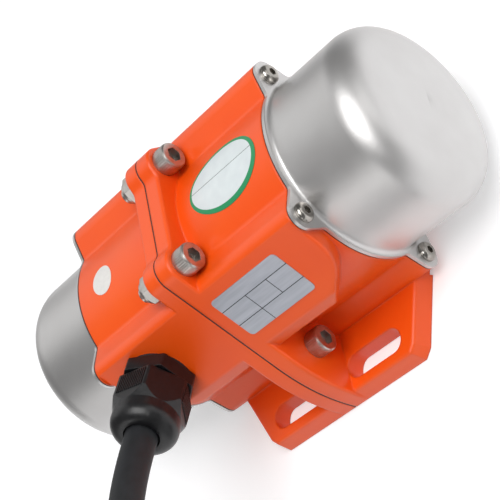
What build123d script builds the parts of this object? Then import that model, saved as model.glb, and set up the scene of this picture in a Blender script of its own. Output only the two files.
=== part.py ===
from build123d import *
import os
from math import acos, cos, degrees, pi, radians, sin, sqrt, tan

# Vibration motor, in millimetres. X runs along the shaft, -Y is the side of the cable gland and
# Z is up. The origin is the centre of the four foot slots, on the mounting plane.
BARREL_LIFT = 1.3
MIRROR = Plane.YZ

# Housing halves, parted at X = 0
HOUSING_RADIUS = 36.0
HOUSING_LENGTH = 105.4
HOUSING_WALL = 5.5
JOINT_GASKET = 0.5
RIDGE_VALLEY_FILLET = 2.1
EDGE_ROUND = 1.0
SEAL_INSET = 0.3

# Cap lugs and ears, at 45 degrees
LUG_STAND_OUT = 3.65
LUG_RADIUS = 5.6
LUG_FLANK = 26.5
LUG_ROOT_DEPTH = 5.1

# Middle flange and its screws, in Y and in height above the shaft
FLANGE_THICKNESS = 13.7
FLANGE_TOP_RISE = 4.4
FLANGE_LUG_RADIUS = 7.02694
UPPER_SCREW_RISE = 1.8
LOWER_SCREW_STAND_OUT = 4.5
LOWER_SCREW_Z = -16.0
FLANGE_HOLE = 6.4
FLANGE_TOP_FILLET = 4.3

# Side face of the flange and the boss that is flush with it
BOSS_TILT = 26.9
BOSS_STAND_OUT = 6.5
BOSS_HALF_WIDTH = 13.9
BOSS_REACH = 52.3
BOSS_CORNER = 16.7
BOSS_CORNER_SWEEP = 50.0
BOSS_WALL_HEIGHT = 6.4
BOSS_POCKET_LENGTH = 24.0
BOSS_POCKET_WIDTH = 19.0
BOSS_ROOF = 3.1
SIDE_STRAIGHT = 24.0

# Feet
FOOT_MARGIN = 9.4
FOOT_THICKNESS = 7.4
FOOT_EDGE_LENGTH = 71.1
FOOT_CHAMFER = 3.0
FOOT_END_SLANT = 21.7
FOOT_KNEE_Y = 27.4
FOOT_INNER_Y = 17.1
RELIEF_HALF_WIDTH = 30.9
FOOT_DRAFT = 10.0
FOOT_ROUND = 1.3
SLOT_SPACING_X = 40.0
SLOT_SPACING_Y = 96.0
SLOT_LENGTH = 26.0
SLOT_WIDTH = 9.0

# End caps, drawn from sheet
CAP_SHEET = 1.2
CAP_SETBACK = 1.7
CAP_DEPTH = 38.9
CAP_CORNER = 11.1
CAP_CROWN_RADIUS = 343.0
CAP_BEND = 1.4
CAP_GASKET = 0.5

# Screws and nuts
M4_RADIUS = 2.0
M4_HEAD_RADIUS = 3.65
M4_HEAD_HEIGHT = 2.2
M4_SOCKET = 2.5
M4_LENGTH = 10.0
M5_RADIUS = 2.5
M5_HEAD_RADIUS = 4.25
M5_HEAD_HEIGHT = 5.0
M5_SOCKET = 4.0
M6_RADIUS = 3.0
M6_HEAD_RADIUS = 5.0
M6_HEAD_HEIGHT = 6.0
M6_SOCKET = 5.0
M6_NUT_WIDTH = 10.0
M6_NUT_HEX_HEIGHT = 4.4
M6_NUT_HEIGHT = 6.0
M6_NUT_COLLAR_RADIUS = 4.7
SCREW_PAST_NUT = 1.5
THREAD_GAP = 0.05

# Bearings, 12 x 32 x 10
BEARING_BORE = 12.0
BEARING_OUTSIDE = 32.0
BEARING_WIDTH = 10.0
BEARING_INNER_FACE = 36.8
BALL_DIAMETER = 5.95
BALL_COUNT = 7
RACE_GAP = 0.045
CAGE_THICKNESS = 1.8
CAGE_WIDTH = 7.4
SHIELD_THICKNESS = 0.6
PRELOAD_GAP = 1.3
PRELOAD_SHEET = 0.5
CIRCLIP_THICKNESS = 1.0
CIRCLIP_DEPTH = 0.4
CIRCLIP_RADIUS = 8.5
HUB_WALL = 4.7
WEB_THICKNESS = 3.9
WEB_OUTER_FACE = 49.7
SHAFT_PASSAGE = 9.4

# Stator and rotor
STATOR_SEAT_WALL = 4.3
STATOR_LENGTH = 34.0
STATOR_BORE = 16.4
SLOT_COUNT = 16
STATOR_SLOT_WIDTH = 4.3
STATOR_SLOT_ROOT = 18.0
STATOR_YOKE = 6.0
STATOR_SLOT_MOUTH = 1.4
SLOT_LINER = 0.3
END_WINDING_CLEARANCE = 2.2
END_WINDING_LENGTH = 10.8
AIR_GAP = 0.3
ROTOR_BAR_COUNT = 16
ROTOR_BAR_RADIUS = 1.4
ROTOR_END_RING_LENGTH = 5.6
ROTOR_END_RING_BORE = 9.9
SEAT_GAP = 0.05

# Shaft and eccentric weights
ROTOR_SEAT_RADIUS = 7.3
COLLAR_RADIUS = 7.7
WEIGHT_SEAT_RADIUS = 5.5
SHAFT_LENGTH = 161.0
WEIGHT_START = 56.6
WEIGHT_THICKNESS = 11.1
WEIGHT_GAP = 1.7
WEIGHT_CLEARANCE = 4.0
WEIGHT_HUB_RADIUS = 14.2
WEIGHT_HALF_ANGLE = 65.0
WEIGHT_SLIT = 1.7
CLAMP_HEIGHT = 9.4
CLAMP_SEAT = 5.1
CLAMP_REACH = 8.1
KEY_SIZE = 4.0
KEY_DEPTH = 2.4
SPACER_RADIUS = 9.4
END_WASHER_RADIUS = 10.0
END_WASHER_THICKNESS = 1.6
END_SCREW_LENGTH = 14.0
FACE_GAP = 0.05
RUNNING_GAP = 0.03
PRESS_GAP = 0.01

# Capacitor
CAPACITOR_LENGTH = 22.0
CAPACITOR_WIDTH = 17.0
CAPACITOR_THICKNESS = 7.7
CAPACITOR_START = 19.3
LEAD_RADIUS = 0.9

# Cable gland, on the rear half
GLAND_X = -35.6
GLAND_ACROSS_FLATS = 24.0
GLAND_HEX_HEIGHT = 5.6
GLAND_THREAD_RADIUS = 10.0
GLAND_THREAD_LENGTH = 7.7
GLAND_HOLE_DEPTH = 13.0
GLAND_BORE_RADIUS = 6.5
GLAND_WASHER_THICKNESS = 0.9
GLAND_GRIP_GAP = 0.5
GLAND_NUT_LENGTH = 12.9
GLAND_DOME_LENGTH = 8.1
GLAND_NUT_ROUND = 13.6
GLAND_HEX_TURN = 30.0
GLAND_NUT_TURN = 45.0
GLAND_NUT_TAPER = 4.7
GLAND_MOUTH_RADIUS = 6.3
GLAND_BODY_NECK = 9.1
GLAND_NECK_LENGTH = 12.0
SEAL_RADIUS = 8.6
SEAL_LENGTH = 7.7

# Cable
CABLE_DIAMETER = 11.6
CABLE_GAP = 0.1
CORE_DIAMETER = 2.4
CORE_LENGTH = 39.0
CORE_REST = 3.1
CORE_INSIDE_END = 26.6
CORE_BEND = 3.1
CABLE_FIRST_RUN = 27.6
CABLE_POINTS = [
    (-35.8, -114.9, 83.1), (-52.3, -161.2, 73.5), (-65.1, -200.1, 43.5), (-59.3, -225.9, 26.7),
    (-40.3, -246.7, 13.3),
]
CABLE_LAST_RUN = 31.2
COIL_CENTRE_X = 17.7
COIL_CENTRE_Y = -188.0
COIL_OUTER_TURN = 69.4
COIL_TURNS = 2
COIL_START = 271.1

# Labels
PLATE_LENGTH = 32.6
PLATE_WIDTH = 18.9
PLATE_THICKNESS = 0.3
PLATE_CORNER = 1.7
PLATE_X = 22.1
PLATE_UP = 1.0
ROUND_LABEL_LENGTH = 34.0
ROUND_LABEL_WIDTH = 22.7
ROUND_LABEL_X = 31.2
STICKER_DIAMETER = 10.8
STICKER_X = -38.0
LABEL_THICKNESS = 0.2

# Places that follow from the sizes above
HALF_JOINT = JOINT_GASKET / 2
HOUSING_END = HOUSING_LENGTH / 2
FLANGE_FACE = FLANGE_THICKNESS / 2
CAP_FOOT = HOUSING_END + CAP_GASKET
EAR_FACE = CAP_FOOT + CAP_SHEET
CAVITY_RADIUS = HOUSING_RADIUS - HOUSING_WALL
SHAFT_HEIGHT = HOUSING_RADIUS + BARREL_LIFT
LUG_CIRCLE = 2 * (HOUSING_RADIUS + LUG_STAND_OUT)
LUG_ROOT_RADIUS = HOUSING_RADIUS - LUG_ROOT_DEPTH
BOSS_DISTANCE = HOUSING_RADIUS + BOSS_STAND_OUT
UPPER_SCREW_Z = HOUSING_RADIUS + UPPER_SCREW_RISE
UPPER_SCREW_OUT = BOSS_DISTANCE - FLANGE_LUG_RADIUS
UPPER_SCREW_Y = (UPPER_SCREW_OUT - UPPER_SCREW_Z * sin(radians(BOSS_TILT))) / cos(radians(BOSS_TILT))
LOWER_SCREW_Y = HOUSING_RADIUS + LOWER_SCREW_STAND_OUT
FLANGE_TOP = UPPER_SCREW_Z + FLANGE_TOP_RISE
FOOT_HALF_WIDTH = SLOT_SPACING_Y / 2 + FOOT_MARGIN
CAP_RADIUS = HOUSING_RADIUS - CAP_SETBACK
STATOR_RADIUS = HOUSING_RADIUS - STATOR_SEAT_WALL
STATOR_SLOT_TOP = STATOR_RADIUS - STATOR_YOKE
END_WINDING_RADIUS = CAVITY_RADIUS - END_WINDING_CLEARANCE
WEIGHT_RADIUS = CAP_RADIUS - CAP_SHEET - WEIGHT_CLEARANCE
SEAT_RADIUS = STATOR_RADIUS + SEAT_GAP
STATOR_END = STATOR_LENGTH / 2
BEARING_OUTER_FACE = BEARING_INNER_FACE + BEARING_WIDTH
BEARING_MIDDLE = BEARING_INNER_FACE + BEARING_WIDTH / 2
BALL_CIRCLE = (BEARING_BORE + BEARING_OUTSIDE) / 4
HUB_RADIUS = BEARING_OUTSIDE / 2 + HUB_WALL
ROTOR_RADIUS = STATOR_BORE - AIR_GAP
SHAFT_END = SHAFT_LENGTH / 2
OUTER_WEIGHT_START = WEIGHT_START + WEIGHT_THICKNESS + WEIGHT_GAP
OUTER_WEIGHT_END = OUTER_WEIGHT_START + WEIGHT_THICKNESS
WASHER_START = max(SHAFT_END, OUTER_WEIGHT_END) + FACE_GAP
CABLE_RADIUS = CABLE_DIAMETER / 2
BOSS_LIMIT = min(BOSS_REACH, HOUSING_END - 0.5)
GLAND_EXIT = (
    BOSS_DISTANCE + GLAND_WASHER_THICKNESS + GLAND_HEX_HEIGHT + GLAND_GRIP_GAP
    + GLAND_NUT_LENGTH + GLAND_DOME_LENGTH
)
OUTWARD = Vector(0, -cos(radians(BOSS_TILT)), sin(radians(BOSS_TILT)))
DOWNWARD = Vector(0, -sin(radians(BOSS_TILT)), -cos(radians(BOSS_TILT)))


def place(distance, down, x=0.0):
    """A point by its distance from the shaft along the boss normal, and how far it lies down the face."""
    return Vector(x, 0, 0) + OUTWARD * distance + DOWNWARD * down


def boss_plane(distance, x=0.0):
    """A plane parallel to the boss face. Its own x is the shaft's direction."""
    return Plane(origin=place(distance, 0, x), x_dir=(1, 0, 0), z_dir=OUTWARD)


def rod(radius, start, end, y=0.0, z=0.0):
    """A round bar along X."""
    return Pos((start + end) / 2, y, z) * Rot(0, 90, 0) * Cylinder(radius, abs(end - start))


def tube(outer, inner, start, end, y=0.0, z=0.0):
    """A round tube along X."""
    return rod(outer, start, end, y, z) - rod(inner, start - 1, end + 1, y, z)


def prism(sketch, start, end):
    """A sketch in Y and Z, extruded along X."""
    return extrude(Plane.YZ.offset(start) * sketch, end - start)


def hex_bar(across_flats, start, end, y=0.0, z=0.0):
    """A hexagonal bar along X."""
    flat = RegularPolygon(across_flats / 2, 6, major_radius=False)
    return prism(Pos(y, z) * flat, start, end)


def group(shapes):
    """Separate solids that share one node."""
    return Compound(children=[solid for shape in shapes for solid in shape.solids()])


def lug_places():
    """Y and Z of the four cap screws."""
    return [
        (LUG_CIRCLE / 2 * cos(radians(turn)), LUG_CIRCLE / 2 * sin(radians(turn)))
        for turn in (45, 135, 225, 315)
    ]


def screw_places():
    """Y and Z of the four flange screws."""
    upper = [(side * UPPER_SCREW_Y, UPPER_SCREW_Z) for side in (-1, 1)]
    lower = [(side * LOWER_SCREW_Y, LOWER_SCREW_Z) for side in (-1, 1)]
    return upper + lower


def lugged_outline(inset=0.0, valley=0.0):
    """The end outline: a circle with four lugs, whose straight flanks touch the lug's round end."""
    radius = HOUSING_RADIUS - inset
    lug = LUG_RADIUS - inset
    lean = radians(LUG_FLANK)
    touch_u = LUG_CIRCLE / 2 + lug * sin(lean)
    touch_v = lug * cos(lean)
    root_v = touch_v + (touch_u - LUG_ROOT_RADIUS) * tan(lean)
    flank = Polyline(
        (LUG_ROOT_RADIUS, -root_v), (touch_u, -touch_v), (touch_u, touch_v), (LUG_ROOT_RADIUS, root_v),
        close=True,
    )
    one = make_face(flank) + Pos(LUG_CIRCLE / 2, 0) * Circle(lug)
    outline = Circle(radius)
    for turn in (45, 135, 225, 315):
        outline += Rot(0, 0, turn) * one
    if valley:
        corners = [
            v for v in outline.vertices()
            if abs(sqrt(v.X**2 + v.Y**2) - radius) < 0.01 and min(abs(v.X), abs(v.Y)) > 1
        ]
        outline = fillet(corners, valley)
    return outline


def flange_outline():
    """The middle flange in Y and Z: two screw lugs on top, slanted sides that bend upright at the feet."""
    lug = Vector(0, -UPPER_SCREW_Y, UPPER_SCREW_Z)
    bend = place(BOSS_DISTANCE, SIDE_STRAIGHT)
    touch = place(BOSS_DISTANCE, lug.dot(DOWNWARD))
    step = sqrt(FLANGE_LUG_RADIUS**2 - FLANGE_TOP_RISE**2) - UPPER_SCREW_Y
    side = TangentArc((bend.Y, bend.Z), (-FOOT_HALF_WIDTH, -SHAFT_HEIGHT), tangent=(DOWNWARD.Y, DOWNWARD.Z))
    slope = Line((bend.Y, bend.Z), (touch.Y, touch.Z))
    over = ThreePointArc(
        (touch.Y, touch.Z), (-UPPER_SCREW_Y, UPPER_SCREW_Z + FLANGE_LUG_RADIUS), (step, FLANGE_TOP)
    )
    rest = Polyline(
        (step, FLANGE_TOP), (0, FLANGE_TOP), (0, -SHAFT_HEIGHT),
        (-FOOT_HALF_WIDTH, -SHAFT_HEIGHT),
    )
    half = make_face([*side.edges(), *slope.edges(), *over.edges(), *rest.edges()])
    outline = half + half.mirror(Plane.YZ)
    hollow = [
        v for v in outline.vertices() if abs(v.Y - FLANGE_TOP) < 0.01 and 1 < abs(v.X) < UPPER_SCREW_Y
    ]
    return fillet(hollow, FLANGE_TOP_FILLET)


def flange_plate(start, end):
    plate = prism(flange_outline(), start, end)
    outer_edges = plate.edges().filter_by(
        lambda e: abs(e.center().X - end) < 0.01 and e.center().Z > 1 - SHAFT_HEIGHT
    )
    return fillet(outer_edges, EDGE_ROUND)


def boss():
    """The raised pad on the slanted side, for the plate on one half and for the gland on the other."""
    upper = place(BOSS_DISTANCE, -BOSS_HALF_WIDTH)
    lower = place(BOSS_DISTANCE, BOSS_HALF_WIDTH)
    profile = Polyline(
        (upper.Y, upper.Z), (lower.Y, lower.Z), (lower.Y + 0.3, lower.Z - BOSS_WALL_HEIGHT),
        (-CAVITY_RADIUS, lower.Z - BOSS_WALL_HEIGHT - 4), (-CAVITY_RADIUS / 2, CAVITY_RADIUS / 2), close=True,
    )
    along = prism(make_face(profile), HALF_JOINT, BOSS_LIMIT)
    lower_corners = along.edges().filter_by(Axis.X).filter_by(lambda e: e.center().Y < lower.Y + 0.5)
    along = fillet(lower_corners, 2)
    sweep = radians(BOSS_CORNER_SWEEP)
    centre_x = BOSS_LIMIT - BOSS_CORNER
    centre_down = BOSS_CORNER - BOSS_HALF_WIDTH
    low = BOSS_HALF_WIDTH + BOSS_WALL_HEIGHT + 1
    leave_x = centre_x + BOSS_CORNER * cos(sweep)
    leave_down = BOSS_CORNER * sin(sweep) - centre_down
    run = (low - leave_down) / cos(sweep)
    arc = TangentArc((BOSS_LIMIT, centre_down), (leave_x, -leave_down), tangent=(0, -1))
    rest = Polyline(
        (leave_x, -leave_down), (leave_x - run * sin(sweep), -low), (0, -low), (0, BOSS_DISTANCE),
        (BOSS_LIMIT, BOSS_DISTANCE), (BOSS_LIMIT, centre_down),
    )
    face = make_face([*arc.edges(), *rest.edges()])
    through = extrude(boss_plane(0) * face, BOSS_DISTANCE + 5)
    pad = along & through
    rim = pad.edges().filter_by(
        lambda e: abs(Vector(e.center()).dot(OUTWARD) - BOSS_DISTANCE) < 0.05 and e.center().X > FLANGE_FACE
        and abs(Vector(e.center()).dot(DOWNWARD)) < BOSS_HALF_WIDTH - 1
    )
    return fillet(rim, EDGE_ROUND)


def foot():
    """One foot plate of the front half, on the gland side, with its slot."""
    edge = FOOT_EDGE_LENGTH / 2
    slant = tan(radians(FOOT_END_SLANT))
    chamfer_x = edge + FOOT_CHAMFER
    reach = chamfer_x + (FOOT_HALF_WIDTH - FOOT_CHAMFER - FOOT_KNEE_Y) * slant
    outline = Polyline(
        (-edge, -FOOT_HALF_WIDTH), (edge, -FOOT_HALF_WIDTH), (chamfer_x, FOOT_CHAMFER - FOOT_HALF_WIDTH),
        (reach, -FOOT_KNEE_Y), (reach, -FOOT_INNER_Y), (-edge, -FOOT_INNER_Y), close=True,
    )
    plate = extrude(Pos(0, 0, -SHAFT_HEIGHT) * make_face(outline), FOOT_THICKNESS, taper=FOOT_DRAFT)
    plate = fillet(plate.faces().sort_by(Axis.Z)[-1].edges(), FOOT_ROUND)
    beyond = Box(2 * HOUSING_LENGTH, 4 * FOOT_HALF_WIDTH, 4 * SHAFT_HEIGHT)
    plate -= Pos(HALF_JOINT - HOUSING_LENGTH, 0, 0) * beyond
    slot = extrude(SlotOverall(SLOT_LENGTH, SLOT_WIDTH), 2 * FOOT_THICKNESS, both=True)
    return plate, Pos(SLOT_SPACING_X / 2, -SLOT_SPACING_Y / 2, -SHAFT_HEIGHT) * slot


def housing_cavity(preload):
    """What is hollow inside one half: the stator's seat, the winding space and the bearing seat."""
    shoulder = BEARING_OUTER_FACE + preload
    web_start = WEB_OUTER_FACE - WEB_THICKNESS
    cavity = rod(SEAT_RADIUS, -1, STATOR_END + SEAT_GAP)
    cavity += tube(CAVITY_RADIUS, HUB_RADIUS, STATOR_END, web_start)
    cavity += rod(CAVITY_RADIUS, 0, BEARING_INNER_FACE - 1.5)
    cavity += rod(BEARING_OUTSIDE / 2 + RUNNING_GAP, 0, shoulder)
    cavity += rod(SHAFT_PASSAGE, 0, HOUSING_END + 1)
    cavity += rod(CAVITY_RADIUS, WEB_OUTER_FACE, HOUSING_END + 1)
    return cavity


def base_relief(length):
    """What is cut away below the barrel, so that only the feet touch the mounting plane."""
    return Pos(0, 0, -SHAFT_HEIGHT) * Box(length, 2 * RELIEF_HALF_WIDTH, 2 * BARREL_LIFT)


def housing_half(preload):
    """The front half. The rear half is its mirror image with a gland hole in place of the pocket."""
    barrel = prism(lugged_outline(valley=RIDGE_VALLEY_FILLET), HALF_JOINT, HOUSING_END)
    half = barrel + flange_plate(HALF_JOINT, FLANGE_FACE)
    plate, slot = foot()
    pad = boss()
    half += [plate, plate.mirror(Plane.XZ), pad]
    above_boss = (Align.CENTER, Align.CENTER, Align.MIN)
    proud = Box(2 * BOSS_LIMIT, 2 * BOSS_HALF_WIDTH + LUG_RADIUS, LUG_RADIUS, align=above_boss)
    half -= [slot, slot.mirror(Plane.XZ), housing_cavity(preload), boss_plane(BOSS_DISTANCE) * proud]
    half -= base_relief(2 * HOUSING_LENGTH)
    for y, z in lug_places():
        half -= rod(M4_RADIUS + THREAD_GAP, EAR_FACE - M4_LENGTH - 2, HOUSING_END + 1, y, z)
    for y, z in screw_places():
        half -= rod(FLANGE_HOLE / 2, -1, FLANGE_FACE + 1, y, z)
    return half


def front_housing():
    roof = BOSS_DISTANCE - BOSS_ROOF
    middle = CAPACITOR_START + BOSS_POCKET_LENGTH / 2 - 1
    pocket = Box(BOSS_POCKET_LENGTH, BOSS_POCKET_WIDTH, roof - HUB_RADIUS - 5)
    centre = (roof + HUB_RADIUS + 5) / 2
    return housing_half(0) - boss_plane(centre, middle) * pocket


def rear_housing():
    half = housing_half(PRELOAD_GAP).mirror(MIRROR)
    threaded = BOSS_DISTANCE - GLAND_THREAD_LENGTH - 1
    middle = BOSS_DISTANCE - (GLAND_HOLE_DEPTH + 1) / 2
    half -= boss_plane(middle, GLAND_X) * Cylinder(GLAND_THREAD_RADIUS + THREAD_GAP, GLAND_HOLE_DEPTH - 1)
    half -= boss_plane(BOSS_DISTANCE, GLAND_X) * Cylinder(
        GLAND_THREAD_RADIUS + THREAD_GAP, 2 * (BOSS_DISTANCE - threaded)
    )
    half -= boss_plane(threaded, GLAND_X) * Cylinder(
        CABLE_RADIUS + 2, 2 * (threaded - CORE_INSIDE_END + 4)
    )
    return half


def housing_gasket():
    sheet = flange_outline() - Circle(STATOR_RADIUS + SEAL_INSET)
    gasket = prism(sheet, -HALF_JOINT, HALF_JOINT)
    gasket -= base_relief(2)
    gasket -= Pos(0, 0, -SHAFT_HEIGHT) * Box(2, 3 * FOOT_HALF_WIDTH, 2 * SEAL_INSET)
    for y, z in screw_places():
        gasket -= rod(FLANGE_HOLE / 2, -1, 1, y, z)
    return gasket


def cap_solid(inset):
    """The cap's cup, as a solid of revolution, with its wall moved inwards by inset."""
    radius = CAP_RADIUS - inset
    corner = CAP_CORNER - inset
    crown = CAP_CROWN_RADIUS - inset
    side_end = CAP_FOOT + CAP_DEPTH - CAP_CORNER
    gap = CAP_CROWN_RADIUS - CAP_CORNER
    centre_radius = CAP_RADIUS - CAP_CORNER
    crown_centre = side_end - sqrt(gap**2 - centre_radius**2)
    away = (side_end - crown_centre) / gap
    meet = (side_end + corner * away, centre_radius + corner * centre_radius / gap)
    start = CAP_FOOT if inset == 0 else CAP_FOOT - 1
    side = Line((start, radius), (side_end, radius))
    bend = TangentArc((side_end, radius), meet, tangent=(1, 0))
    top = (crown_centre + crown, 0)
    dome = TangentArc(top, meet, tangent=(0, 1))
    close = Polyline(top, (start, 0), (start, radius))
    face = make_face([*side.edges(), *bend.edges(), *dome.edges(), *close.edges()])
    return revolve(Plane.XY * face, Axis.X)


def front_cap():
    flange = prism(lugged_outline(valley=RIDGE_VALLEY_FILLET), CAP_FOOT, EAR_FACE)
    cap = flange + cap_solid(0)
    root = cap.edges().filter_by(GeomType.CIRCLE).filter_by(
        lambda e: abs(e.radius - CAP_RADIUS) < 0.01 and abs(e.center().X - EAR_FACE) < 0.3
    )
    cap = fillet(root, CAP_BEND)
    cap -= cap_solid(CAP_SHEET)
    for y, z in lug_places():
        cap -= rod(M4_RADIUS + 0.25, CAP_FOOT - 1, EAR_FACE + 1, y, z)
    return cap


def front_cap_gasket():
    gasket = prism(lugged_outline(SEAL_INSET, RIDGE_VALLEY_FILLET), HOUSING_END, CAP_FOOT)
    gasket -= rod(CAP_RADIUS - CAP_SHEET, HOUSING_END - 1, CAP_FOOT + 1)
    for y, z in lug_places():
        gasket -= rod(M4_RADIUS + 0.25, HOUSING_END - 1, CAP_FOOT + 1, y, z)
    return gasket


def button_screw(y, z):
    """A button-head screw of the caps, its head out along +X."""
    head = rod(M4_HEAD_RADIUS, EAR_FACE, EAR_FACE + M4_HEAD_HEIGHT, y, z)
    head = fillet(head.edges().sort_by(Axis.X)[-1], M4_HEAD_HEIGHT - 0.5)
    head -= hex_bar(M4_SOCKET, EAR_FACE + M4_HEAD_HEIGHT - 1.4, EAR_FACE + M4_HEAD_HEIGHT + 1, y, z)
    return head + rod(M4_RADIUS, EAR_FACE - M4_LENGTH, EAR_FACE, y, z)


def socket_screw(radius, head_radius, head_height, socket, seat, tip, y=0.0, z=0.0):
    """A socket-head screw along X. Its head starts at seat and its shank ends at tip."""
    out = 1 if seat > tip else -1
    top = seat + out * head_height
    head = rod(head_radius, seat, top, y, z)
    top_edge = head.edges().filter_by(GeomType.CIRCLE).filter_by(lambda e: abs(e.center().X - top) < 0.01)
    head = chamfer(top_edge, head_radius * 0.08)
    start = top - out * head_height * 0.5
    head -= hex_bar(socket, min(start, top + out), max(start, top + out), y, z)
    return head + rod(radius, tip, seat, y, z)


def housing_screws():
    tip = -(FLANGE_FACE + M6_NUT_HEIGHT + SCREW_PAST_NUT)
    return [
        socket_screw(M6_RADIUS, M6_HEAD_RADIUS, M6_HEAD_HEIGHT, M6_SOCKET, FLANGE_FACE, tip, y, z)
        for y, z in screw_places()
    ]


def housing_nuts():
    """Lock nuts: a chamfered hexagon with a round collar over its nylon ring."""
    hex_end = -FLANGE_FACE - M6_NUT_HEX_HEIGHT
    end = -FLANGE_FACE - M6_NUT_HEIGHT
    corner = M6_NUT_WIDTH / sqrt(3)
    nuts = []
    for y, z in screw_places():
        hexagon = hex_bar(M6_NUT_WIDTH, hex_end, -FLANGE_FACE, y, z)
        cone = rod(corner, hex_end, -FLANGE_FACE, y, z)
        cone = chamfer(cone.edges().sort_by(Axis.X)[0], 1.0, 1.4)
        collar = rod(M6_NUT_COLLAR_RADIUS, end, hex_end + 1, y, z)
        collar = fillet(collar.edges().filter_by(GeomType.CIRCLE).sort_by(Axis.X)[0], 1.3)
        nuts.append((hexagon & cone) + collar - rod(M6_RADIUS + THREAD_GAP, end - 1, 0, y, z))
    return nuts


def gland_hexagon(start, length, across_flats, turn=GLAND_HEX_TURN):
    """A hexagonal bar along the boss normal, with a corner towards the shaft's direction."""
    flat = Rot(0, 0, turn) * RegularPolygon(across_flats / 2, 6, major_radius=False)
    return extrude(boss_plane(start, GLAND_X) * flat, length)


def gland_round(radius, start, length):
    return extrude(boss_plane(start, GLAND_X) * Circle(radius), length)


def gland_washer():
    ring = gland_round(GLAND_ACROSS_FLATS / 2, BOSS_DISTANCE, GLAND_WASHER_THICKNESS)
    return ring - gland_round(GLAND_THREAD_RADIUS + THREAD_GAP, BOSS_DISTANCE - 1, 10)


def gland_body():
    hex_start = BOSS_DISTANCE + GLAND_WASHER_THICKNESS
    body = gland_hexagon(hex_start, GLAND_HEX_HEIGHT, GLAND_ACROSS_FLATS)
    corner = GLAND_ACROSS_FLATS / sqrt(3)
    rounder = gland_round(corner - 0.2, hex_start, GLAND_HEX_HEIGHT)
    body = body & rounder
    inner = BOSS_DISTANCE - GLAND_THREAD_LENGTH
    body += gland_round(GLAND_THREAD_RADIUS, inner, hex_start - inner)
    hex_end = hex_start + GLAND_HEX_HEIGHT
    body += gland_round(GLAND_BODY_NECK, hex_end, GLAND_NECK_LENGTH)
    body -= gland_round(GLAND_BORE_RADIUS, inner - 1, 60)
    seal_start = hex_end + GLAND_NECK_LENGTH - SEAL_LENGTH / 2
    return body - gland_round(SEAL_RADIUS - 1.2, seal_start, SEAL_LENGTH)


def gland_seal():
    """The rubber sleeve that the nut squeezes onto the cable."""
    hex_end = BOSS_DISTANCE + GLAND_WASHER_THICKNESS + GLAND_HEX_HEIGHT
    start = hex_end + GLAND_NECK_LENGTH - SEAL_LENGTH / 2 + FACE_GAP
    seal = gland_round(SEAL_RADIUS - 1.2 - CABLE_GAP, start, SEAL_LENGTH / 2)
    seal += gland_round(SEAL_RADIUS - 1.2 - CABLE_GAP, start + SEAL_LENGTH / 2 - 0.1, SEAL_LENGTH / 2 - 0.2)
    return seal - gland_round(CABLE_RADIUS + CABLE_GAP, start - 1, SEAL_LENGTH + 3)


def gland_nut():
    """The compression nut: a hexagon with rounded corners that ends in a dome."""
    start = BOSS_DISTANCE + GLAND_WASHER_THICKNESS + GLAND_HEX_HEIGHT + GLAND_GRIP_GAP
    corner = GLAND_ACROSS_FLATS / sqrt(3)
    nut = gland_hexagon(start, GLAND_NUT_LENGTH, GLAND_ACROSS_FLATS, GLAND_NUT_TURN)
    nut = nut & gland_round(GLAND_NUT_ROUND, start, GLAND_NUT_LENGTH)
    dome_start = start + GLAND_NUT_LENGTH
    taper = Cone(corner, GLAND_ACROSS_FLATS / 2, GLAND_NUT_TAPER)
    ring = gland_round(corner, start, GLAND_NUT_LENGTH - GLAND_NUT_TAPER)
    nut = nut & (ring + boss_plane(dome_start - GLAND_NUT_TAPER / 2, GLAND_X) * taper)
    dome = gland_round(GLAND_ACROSS_FLATS / 2, dome_start, GLAND_DOME_LENGTH)
    rim = dome.edges().filter_by(GeomType.CIRCLE).sort_by(
        lambda e: Vector(e.center()).dot(OUTWARD)
    )[-1]
    dome = fillet(rim, min(GLAND_DOME_LENGTH - 1, GLAND_ACROSS_FLATS / 2 - GLAND_MOUTH_RADIUS - 0.8))
    nut += dome
    nut -= gland_round(GLAND_MOUTH_RADIUS, start - 1, 60)
    hex_end = BOSS_DISTANCE + GLAND_WASHER_THICKNESS + GLAND_HEX_HEIGHT
    neck_end = hex_end + GLAND_NECK_LENGTH
    nut -= gland_round(GLAND_BODY_NECK + THREAD_GAP, start - 1, neck_end + 1.2 - start + 1)
    return nut - gland_round(SEAL_RADIUS - 1.2, neck_end, SEAL_LENGTH / 2)


def cable_entry():
    """The cable's first stretch, from inside the housing through the gland."""
    return gland_round(CABLE_RADIUS, CORE_INSIDE_END, GLAND_EXIT - CORE_INSIDE_END)


def winding_leads():
    """Three insulated cores, from the cable's inner end to the rear winding."""
    leads = []
    winding_face = -(STATOR_END + END_WINDING_LENGTH)
    for number in (-1, 0, 1):
        start = place(CORE_INSIDE_END, 4 * number, GLAND_X)
        corner = start - OUTWARD * (CORE_BEND + 0.6)
        end = Vector(winding_face, corner.Y, corner.Z)
        path = FilletPolyline(start, corner, end, radius=CORE_BEND)
        section = Plane(origin=start, z_dir=OUTWARD * -1) * Circle(CORE_DIAMETER / 2)
        leads.append(sweep(section, path=path))
    return leads


def cable_route():
    """The points of the free cable, from the gland's mouth to where it meets the coil."""
    start = place(GLAND_EXIT, 0, GLAND_X) + Vector(0, 0, SHAFT_HEIGHT)
    turn = radians(COIL_START)
    out = Vector(cos(turn), sin(turn), 0)
    end = Vector(COIL_CENTRE_X, COIL_CENTRE_Y, CABLE_RADIUS) + out * COIL_OUTER_TURN
    before_end = end - Vector(-sin(turn), cos(turn), 0) * CABLE_LAST_RUN
    middle = [Vector(*point) for point in CABLE_POINTS]
    return [start, start + OUTWARD * CABLE_FIRST_RUN, *middle, before_end, end]


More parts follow.
